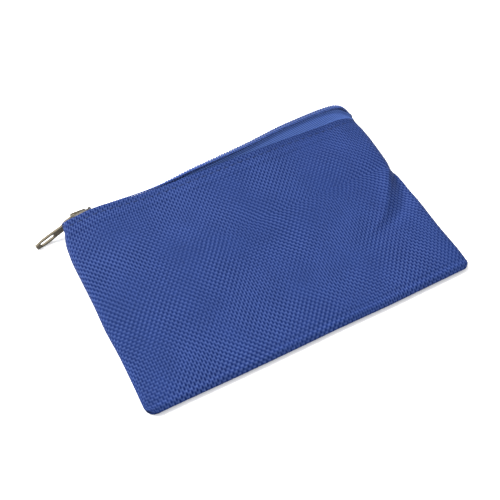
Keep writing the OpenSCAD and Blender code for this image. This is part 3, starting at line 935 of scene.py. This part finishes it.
def tape_line(s, side):
    """Middle of the tape's thickness: from inside the hem, round its edge and out under the coil."""
    x = s[:, 0]
    edge_z, deep_z = hem_face(x, side)
    off = side * (TAPE_T / 2 + TAPE_GAP)
    hem_y = hem_line(x) if side > 0 else np.full(len(x), BACK_HEM)
    start = np.stack([x, hem_y - TAPE_INSIDE, deep_z - off], -1)
    edge = np.stack([x, hem_y - TAPE_BEND, edge_z - off], -1)
    under = -(COIL_T + TAPE_T) / 2 - TAPE_GAP
    near = section_point(s, side, -COIL_W / 2, under)
    far = section_point(s, side, COIL_W * 0.45, under)
    corner = np.stack([x, np.maximum(near[:, 1], hem_y + TAPE_ROUNDS), edge[:, 2]], -1)
    t = np.linspace(0, 1, 12)[None, :, None]
    bend = (1 - t) ** 2 * edge[:, None] + 2 * t * (1 - t) * corner[:, None] + t * t * near[:, None]
    return np.concatenate([straight(start, edge, 8)[:, :-1], bend, straight(near, far, 6)[:, 1:]], 1)


def make_tape(node, route, side, material):
    """A ribbed tape. Its uv runs along it and across it up to 0 at the edge under the coil."""
    length, stations = along_route(route, 0.22)
    line = tape_line(stations, side)
    way = np.gradient(line, axis=1)
    way[..., 0] = 0
    way = unit(way)
    out = np.stack([0 * way[..., 0], -way[..., 2], way[..., 1]], -1)
    steps = np.linalg.norm(np.diff(line, axis=1), axis=2)
    across = np.concatenate([np.zeros((len(line), 1)), np.cumsum(steps, axis=1)], 1)
    rib = TAPE_RIB_HEIGHT * np.sin(2 * np.pi * (length[:, None] + TAPE_RIB_SLANT * across) / TAPE_RIB)
    half = TAPE_T / 2 - 0.02
    top = line + out * (half + rib[..., None])
    low = line - out * (half - rib[..., None])
    uv = np.stack([np.broadcast_to(length[:, None], across.shape), across - across[:, -1:]], -1)
    piece = strip_mesh(f"{node}_knit", top, low, uv)
    return finish_piece(piece, material, stands_for=[node])


# -------- threads

THREAD_R = 0.16
STITCH = 2.5
STITCH_PITCH = 3.0
STITCH_DIP = 0.30
TACK_THREAD_R = 0.17
TACK_LOOPS = 3
TACK_SPACING = 0.5
TACK_HALF_WIDTH = 0.34
TACK_HALF_HEIGHT = 2.0
UP = np.array([0, 0, 1.0])


def stitches(name, node, places, up, material, sunk=0.0):
    """A row of stitches along a path. Each dips into the cloth at both ends, and sunk is how deep the
    whole row is pressed in."""
    length = lengths(places)
    t = np.linspace(-1, 1, 11)
    lift = THREAD_R * 0.15 - sunk - STITCH_DIP * np.abs(t) ** 3
    radius = THREAD_R * (1 - 0.25 * np.abs(t) ** 4)
    tubes = []
    for k in range(int(length[-1] / STITCH_PITCH)):
        run = (k + 0.08) * STITCH_PITCH + np.linspace(0, STITCH, 11)
        path = sample(run, length, places) + up * lift[:, None]
        tubes.append(tube_rings(path, up, radius, 8))
    return finish_piece(join_tubes(name, tubes), material, stands_for=[node])


def hem_stitches(node, side, material, low, high):
    """The topstitch of a hem, from x low to high."""
    a = hem_share(np.linspace(low, high, 400))
    b = np.full_like(a, 1 - (STITCH_LINE - FOLD_R) / DEPTH)
    # Under the pouch its own weight presses them flush with the cloth
    sunk = 0.0 if side > 0 else 1.2 * THREAD_R
    return stitches(f"{node}_thread", node, panel_point(side, a, b), side * UP, material, sunk)


def side_seam_stitches(where, edge, material):
    """Stitches inside a side seam. edge is -1 for the left one and 1 for the right one."""
    y = np.linspace(FOOT + 4.5, HEM - 1.5, 200)
    x = (left_edge(y) + 1.0) if edge < 0 else (right_edge(y) - 1.0)
    inwards = np.array([-float(edge), 0, 0])
    path = np.stack([x, y, seam_level(y)], -1)
    return stitches(f"{where}_seam_stitches", f"{where}_seam_thread", path, inwards, material)


def bottom_seam_stitches(material):
    x = np.linspace(-58, 57, 200)
    path = np.stack([x, foot_line(x) + 1.0, 1.64 + 0 * x], -1)
    return stitches("bottom_seam_stitches", "bottom_seam_thread", path, UP, material)


def make_tack(node, x, y, material):
    """Loops of thread round both rows of the zip."""
    t = circle(24)
    out = np.stack([np.cos(t), 0 * t, np.sin(t)], -1)
    along = np.stack([-np.sin(t), 0 * t, np.cos(t)], -1)
    across = np.cross(out, along)
    sides = 8
    angle = circle(sides)[None, :, None]
    section = TACK_THREAD_R * (np.cos(angle) * across[:, None] + np.sin(angle) * out[:, None])
    uv = np.stack(np.meshgrid(np.arange(len(t)) * 0.5, np.arange(sides) / sides, indexing="ij"), -1)
    points, faces, uvs = [], [], []
    for k in range(TACK_LOOPS):
        path = np.stack([
            x + TACK_HALF_WIDTH * np.cos(t),
            y - 0.6 + TACK_SPACING * k + 0.05 * np.sin(2 * t),
            SEAM_HEM_Z + TACK_HALF_HEIGHT * np.sin(t)], -1)
        points.append((path[:, None] + section).reshape(-1, 3))
        faces.append(loop_quads(len(t), sides, k * len(t) * sides))
        uvs.append(uv.reshape(-1, 2))
    piece = add_mesh(f"{node}_loops", np.concatenate(points), faces, np.concatenate(uvs))
    return finish_piece(piece, material, stands_for=[node])


# -------- split ring, ribbon

RING = np.array([36, 20, 3.3])
RING_R = 12.0
RING_WIRE = 1.9
RING_H = 2.2
RING_GAP = math.radians(24)
RING_START = math.radians(150)
RING_CLEARANCE = 0.01
RING_END_TAPER = 0.28

RIBBON_W = 6
RIBBON_T = 0.34
RIBBON_HALF_SPACE = 0.2
RIBBON_LOOP_X = 45.45
RIBBON_LOOP_R = 1.69
RIBBON_END_X = 58.75
BARTACK_X = 53.1
BARTACK_L = 1.4
BARTACK_W = 5
BARTACK_TURNS = 6
BARTACK_THREAD_R = 0.14


def squarish(wave):
    """Flattens a sine or cosine, so that a circle of it becomes a rounded square."""
    return np.sign(wave) * np.abs(wave) ** 0.55


def make_split_ring(material):
    """Two turns of flat wire that step over each other at the gap."""
    t = np.linspace(RING_GAP, 4 * np.pi - RING_GAP, 321)
    step = ease(2 * np.pi - RING_GAP * 0.9, 2 * np.pi + RING_GAP * 0.9, t)
    level = (2 * step - 1) * (RING_H / 4 + RING_CLEARANCE)
    theta = RING_START + t
    r = RING_R - RING_WIRE / 2
    path = RING + np.stack([r * np.cos(theta), r * np.sin(theta), level], -1)
    outwards = np.stack([np.cos(theta), np.sin(theta), 0 * theta], -1)
    from_end = np.minimum(t - RING_GAP, 4 * np.pi - RING_GAP - t)
    taper = (1 - RING_END_TAPER + RING_END_TAPER * rise(from_end, 0.06))[:, None]
    angle = 2 * np.pi * (np.arange(20) + 0.5) / 20
    wide = (RING_WIRE / 2) * (squarish(np.cos(angle)) * taper)[..., None]
    high = (RING_H / 4 - RING_CLEARANCE) * (squarish(np.sin(angle)) * taper)[..., None]
    rings = path[:, None] - wide * outwards[:, None] + high * UP
    piece = join_tubes("split_ring_wire", [rings])
    return finish_piece(piece, material, stands_for=["split_ring"], body="key_ring")


def ribbon_route():
    """x and z of the folded ribbon: in from the seam, round the ring's wire and back out."""
    middle_z = RING[2]
    end_z = seam_level(RING[1])
    space = RIBBON_HALF_SPACE
    arc = [(RIBBON_LOOP_X + RIBBON_LOOP_R * math.cos(math.radians(q)),
            middle_z + RIBBON_LOOP_R * math.sin(math.radians(q))) for q in range(90, 271, 12)]
    upper = [(RIBBON_END_X, end_z + space), (55.5, 3.95 + space), (52.6, 3.58 + space), (51.4, 4.35),
             (49.2, middle_z + RIBBON_LOOP_R)]
    lower = [(49.2, middle_z - RIBBON_LOOP_R), (51.4, 2.75), (52.6, 3.55 - space), (55.5, 3.9 - space),
             (RIBBON_END_X, end_z - space)]
    return np.array(upper + arc + lower, float)


def make_ring_tab(material):
    """A ribbon folded round the ring's wire, its two ends together in the right seam."""
    dense = smooth_through(ribbon_route(), 2400)
    length = lengths(dense)
    wanted = np.linspace(0, length[-1], 150)
    line = sample(wanted, length, dense)
    way = unit(np.gradient(line, axis=0))
    out = np.stack([way[:, 1], -way[:, 0]], -1)
    width = np.linspace(-RIBBON_W / 2, RIBBON_W / 2, 31)
    rib = 0.022 * np.cos(2 * np.pi * width / 0.6)[None, :] + 0.014 * np.cos(2 * np.pi * wanted / 0.5)[:, None]

    def face(offset):
        x = line[:, 0, None] + out[:, 0, None] * offset
        z = line[:, 1, None] + out[:, 1, None] * offset
        return np.stack([x, np.broadcast_to(RING[1] + width, x.shape), z], -1)
    uv = np.stack(np.broadcast_arrays(wanted[:, None], width[None, :]), -1)
    piece = strip_mesh("ring_tab_ribbon", face(RIBBON_T / 2 + rib), face(-RIBBON_T / 2 - rib), uv)
    return finish_piece(piece, material, stands_for=["ring_tab"])


def make_bartack(material):
    """A dense zigzag of thread across the ribbon where its two layers join."""
    t = np.linspace(0, 1, 240)
    x = BARTACK_X + BARTACK_L * t
    y = RING[1] + BARTACK_W / 2 * np.sin(2 * np.pi * BARTACK_TURNS * t)
    # The ribbon's upper layer rises slowly towards the seam
    z = 4.11 + 0.12 * (x - 52.5)
    path = np.stack([x, y, z], -1)
    piece = join_tubes("ring_tab_bartack_zigzag", [tube_rings(path, UP, BARTACK_THREAD_R, 6)])
    return finish_piece(piece, material, stands_for=["ring_tab_bartack"])


# -------- metal parts, floor

BEVEL_ANGLE = math.radians(28)
WELD_DISTANCE = 1e-6
FLOOR_HALF = 1500.0
FLOOR_Z = -0.02


def dress_metal(node, material, bevel):
    """A CAD node keeps its mesh, and gets rounded edges from modifiers and a plated finish."""
    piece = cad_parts[node]
    piece.data.materials.clear()
    piece.data.materials.append(material)
    weld = piece.modifiers.new("weld", "WELD")
    weld.merge_threshold = WELD_DISTANCE
    edge = piece.modifiers.new("bevel", "BEVEL")
    edge.width = bevel * MM
    edge.segments = 3
    edge.limit_method = "ANGLE"
    edge.angle_limit = BEVEL_ANGLE
    edge.harden_normals = False
    smooth = piece.modifiers.new("normals", "WEIGHTED_NORMAL")
    smooth.keep_sharp = False
    for polygon in piece.data.polygons:
        polygon.use_smooth = True


def make_floor():
    corners = ((-1, -1), (1, -1), (1, 1), (-1, 1))
    points = np.array([(x * FLOOR_HALF, y * FLOOR_HALF, FLOOR_Z) for x, y in corners])
    piece = add_mesh("floor", points, [np.array([[0, 1, 2, 3]])])
    piece.data.materials.append(floor_material())


# -------- build

make_camera()
make_lights()
make_floor()
bpy.context.scene.view_settings.view_transform = "Standard"

cloth = cloth_material()
tape = tape_material("zip_tape", 0.66)
ribbon = tape_material("ribbon", 1.0)
nylon = coil_material()
thread = thread_material("sewing_thread", (0.009, 0.022, 0.092), (0.027, 0.048, 0.148))
pale_thread = thread_material("coil_thread", (0.024, 0.055, 0.215), (0.090, 0.155, 0.450))
cord = thread_material("core_cord", (0.016, 0.034, 0.140), (0.045, 0.080, 0.250))
# Each metal's worn tone, its shade, and its roughness from smooth to rough
pull_metal = metal_material(
    "antique_plating", (0.138, 0.120, 0.088), (0.076, 0.066, 0.048), 0.56, 0.70)
crown_metal = metal_material(
    "antique_plating_rubbed", (0.052, 0.045, 0.032), (0.020, 0.0175, 0.013), 0.42, 0.58)
body_metal = metal_material(
    "antique_plating_deep", (0.052, 0.048, 0.041), (0.012, 0.011, 0.0095), 0.30, 0.46)
spring_metal = metal_material(
    "spring_steel", (0.32, 0.31, 0.29), (0.18, 0.175, 0.165), 0.26, 0.38)
ring_metal = metal_material(
    "nickel_plating", (0.55, 0.53, 0.49), (0.36, 0.345, 0.32), 0.18, 0.32)


def make_zip_row(where, route, side):
    """A tape with its coil, the stitching that holds the coil, and the cord inside it."""
    return [
        make_tape(f"{where}_zip_tape", route, side, tape),
        make_coil(f"{where}_coil", route, side, nylon),
        make_coil_stitching(f"{where}_coil_stitching", route, side, pale_thread),
        make_coil_cord(f"{where}_coil_cord", route, side, cord),
    ]


front = [
    make_panel("front_panel", 1, cloth),
    hem_stitches("front_topstitch", 1, thread, -60, 55),
]
front_zip = make_zip_row("front", FRONT_ROUTE, 1)
back_zip = make_zip_row("back", BACK_ROUTE, -1)
back = [
    make_panel("back_panel", -1, cloth),
    hem_stitches("back_topstitch", -1, thread, -54, 52),
]
side_seam_stitches("left", -1, thread)
side_seam_stitches("right", 1, thread)
bottom_seam_stitches(thread)
tacks = [
    make_tack("left_zip_tack", -61.6, 37.1, thread),
    make_tack("right_zip_tack", 58.1, 37.4, thread),
]
make_split_ring(ring_metal)
ring_tab = [make_ring_tab(ribbon), make_bartack(cord)]

dress_metal("slider_body", body_metal, 0.14)
dress_metal("slider_crown", crown_metal, 0.16)
dress_metal("slider_lock_spring", spring_metal, 0.04)
dress_metal("pull_tab", pull_metal, 0.16)

# Soft pieces flatten towards the plane of the side seams as the slider closes the zip, and each group is
# listed with the share of its distance from the plane that it keeps. The loop only gives each piece its own
# copy of its mesh; it does not flatten them, and the shares are not used.
KEPT = ((front, 0.27), (front_zip, 0.2), (back_zip, 0.5), (back, 0.8), (ring_tab, 0.85), (tacks, 0.6))
for pieces, keep in KEPT:
    for piece in pieces:
        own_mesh(piece)
